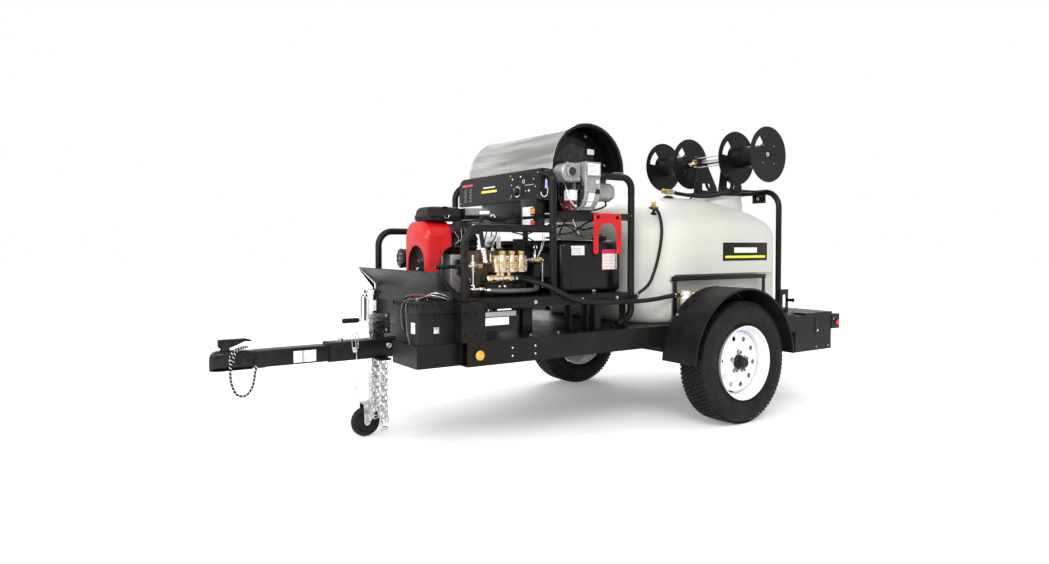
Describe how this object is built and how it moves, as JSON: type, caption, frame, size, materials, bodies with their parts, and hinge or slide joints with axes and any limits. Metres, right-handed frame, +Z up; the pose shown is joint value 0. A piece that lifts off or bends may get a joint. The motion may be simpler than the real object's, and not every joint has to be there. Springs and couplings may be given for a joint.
{
  "type": "trailer pressure washer",
  "caption": "Hot-water pressure washer on a single-axle road trailer, with engine-driven pump, oil-fired coil heater, water tank, hose reels and a swivel jack",
  "frame": {"origin": "on the ground, under the centre of the whole object's box", "axes": "+X from the coupler towards the tail, +Y towards the trailer's right as it is towed, +Z up"},
  "size_m": [3.89, 1.692, 1.7791],
  "materials": {
    "black_paint": "satin black powder coat",
    "black_plastic": "moulded, lightly textured",
    "tyre": "matt black rubber with tread",
    "rubber": "matt black rubber",
    "white_paint": "gloss white enamel",
    "red_paint": "gloss red enamel",
    "amber_lens": "moulded lens",
    "zinc": "bright zinc plate",
    "stainless": "mill-finish stainless sheet",
    "cast_aluminium": "as-cast grey",
    "bronze": "dark bronze casting paint",
    "brass": "machined and cast brass",
    "white_poly": "natural white rotomoulded polyethylene"
  },
  "bodies": {
    "root": {"left_rail": "black_paint", "right_rail": "black_paint", "deck_frame": "black_paint", "battery_tray": "black_paint", "tongue": "black_paint", "coupler": "black_paint", "left_fender": "black_paint", "right_fender": "black_paint", "axle_beam": "black_paint", "rear_toolbox": "black_paint", "skid_base": "black_paint", "left_cage": "black_paint", "right_cage": "black_paint", "front_guard": "black_paint", "belt_guard": "black_paint", "coil_drum": "black_paint", "control_panel": "black_paint", "muffler": "black_paint", "reel_stand": "black_paint", "battery_box": "black_plastic", "air_cleaner": "black_plastic", "fuel_tank": "black_plastic", "wiring_loop": "black_plastic", "drive_belt": "rubber", "suction_hose": "rubber", "return_hose": "rubber", "engine_shroud": "red_paint", "wand_holder": "red_paint", "left_marker_light": "amber_lens", "right_marker_light": "amber_lens", "safety_chains": "zinc", "heating_coil": "zinc", "coil_wrap": "stainless", "engine_block": "cast_aluminium", "burner_housing": "cast_aluminium", "pump_crankcase": "bronze", "pump_head": "brass", "water_tank": "white_poly", "water_filter": "white_poly"},
    "left_wheel": {"left_tyre": "tyre", "left_rim": "white_paint"},
    "right_wheel": {"right_tyre": "tyre", "right_rim": "white_paint"},
    "crankshaft": {"flywheel_fan": "zinc", "engine_pulley": "zinc"},
    "pump_shaft": {"pump_pulley": "zinc"},
    "jack_tube": {"jack_outer_tube": "zinc"},
    "jack_leg": {"jack_inner_tube": "zinc"},
    "jack_handle": {"jack_crank": "zinc"},
    "caster": {"jack_wheel": "rubber"},
    "latch": {"coupler_latch": "zinc"},
    "left_spool": {"left_reel": "black_paint"},
    "right_spool": {"right_reel": "black_paint"},
    "tank_lid": {"manway_lid": "black_plastic"},
    "box_lid": {"toolbox_lid": "black_paint"},
    "unloader_dial": {"unloader_knob": "black_plastic"},
    "blower": {"blower_wheel": "zinc"},
    "thermostat_dial": {"thermostat_knob": "black_plastic"},
    "toggle": {"burner_switch": "zinc"},
    "cap": {"fuel_cap": "black_plastic"}
  },
  "joints": [
    {"name": "left_wheel_spin", "type": "hinge", "parent": "root", "child": "left_wheel", "pos_m": [0.69, -0.742, 0.3445], "axis": [0, 1, 0], "continuous": true},
    {"name": "right_wheel_spin", "type": "hinge", "parent": "root", "child": "right_wheel", "pos_m": [0.69, 0.742, 0.3445], "axis": [0, 1, 0], "continuous": true},
    {"name": "latch_lift", "type": "hinge", "parent": "root", "child": "latch", "pos_m": [-1.875, 0, 0.553], "axis": [0, -1, 0], "range_deg": [0, 70]},
    {"name": "jack_swivel", "type": "hinge", "parent": "root", "child": "jack_tube", "pos_m": [-1.121, 0.13, 0.6], "axis": [0, 1, 0], "range_deg": [0, 90]},
    {"name": "jack_slide", "type": "slide", "parent": "jack_tube", "child": "jack_leg", "axis": [0, 0, -1], "range_m": [-0.13, 0.1]},
    {"name": "jack_crank_turn", "type": "hinge", "parent": "jack_tube", "child": "jack_handle", "pos_m": [-1.1498, 0.13, 0.742], "axis": [-1, 0, 0], "range_deg": [-4680, 3600]},
    {"name": "caster_spin", "type": "hinge", "parent": "jack_leg", "child": "caster", "pos_m": [-1.163, 0.13, 0.078], "axis": [0, 1, 0], "continuous": true},
    {"name": "left_reel_spin", "type": "hinge", "parent": "root", "child": "left_spool", "pos_m": [1.373, -0.3175, 1.597], "axis": [0, 1, 0], "continuous": true},
    {"name": "right_reel_spin", "type": "hinge", "parent": "root", "child": "right_spool", "pos_m": [1.373, 0.369, 1.597], "axis": [0, 1, 0], "continuous": true},
    {"name": "tank_lid_turn", "type": "hinge", "parent": "root", "child": "tank_lid", "pos_m": [1.32, -0.06, 1.3383], "axis": [0, 0, 1], "continuous": true},
    {"name": "toolbox_lid_lift", "type": "hinge", "parent": "root", "child": "box_lid", "pos_m": [1.5665, 0, 0.5545], "axis": [0, -1, 0], "range_deg": [0, 85]},
    {"name": "crank_spin", "type": "hinge", "parent": "root", "child": "crankshaft", "pos_m": [-0.91, 0, 0.92], "axis": [1, 0, 0], "continuous": true},
    {"name": "pump_spin", "type": "hinge", "parent": "root", "child": "pump_shaft", "pos_m": [-0.4175, -0.285, 0.885], "axis": [1, 0, 0], "continuous": true},
    {"name": "unloader_turn", "type": "hinge", "parent": "root", "child": "unloader_dial", "pos_m": [-0.775, -0.42, 0.835], "axis": [-1, 0, 0], "range_deg": [0, 720]},
    {"name": "blower_spin", "type": "hinge", "parent": "root", "child": "blower", "pos_m": [-0.25, -0.46, 1.288], "axis": [1, 0, 0], "continuous": true},
    {"name": "thermostat_turn", "type": "hinge", "parent": "root", "child": "thermostat_dial", "pos_m": [-0.454, -0.215, 1.29], "axis": [-1, 0, 0], "range_deg": [0, 270]},
    {"name": "burner_switch_flip", "type": "hinge", "parent": "root", "child": "toggle", "pos_m": [-0.436, -0.33, 1.29], "axis": [0, 1, 0], "range_deg": [0, 24]},
    {"name": "fuel_cap_turn", "type": "hinge", "parent": "root", "child": "cap", "pos_m": [0.01, -0.37, 1.0303], "axis": [0, 0, 1], "continuous": true}
  ],
  "couplings": [
    {"joint": "pump_spin", "follows": "crank_spin", "ratio": 0.55},
    {"joint": "jack_slide", "follows": "jack_crank_turn", "m_per_rad": 0.00159}
  ]
}
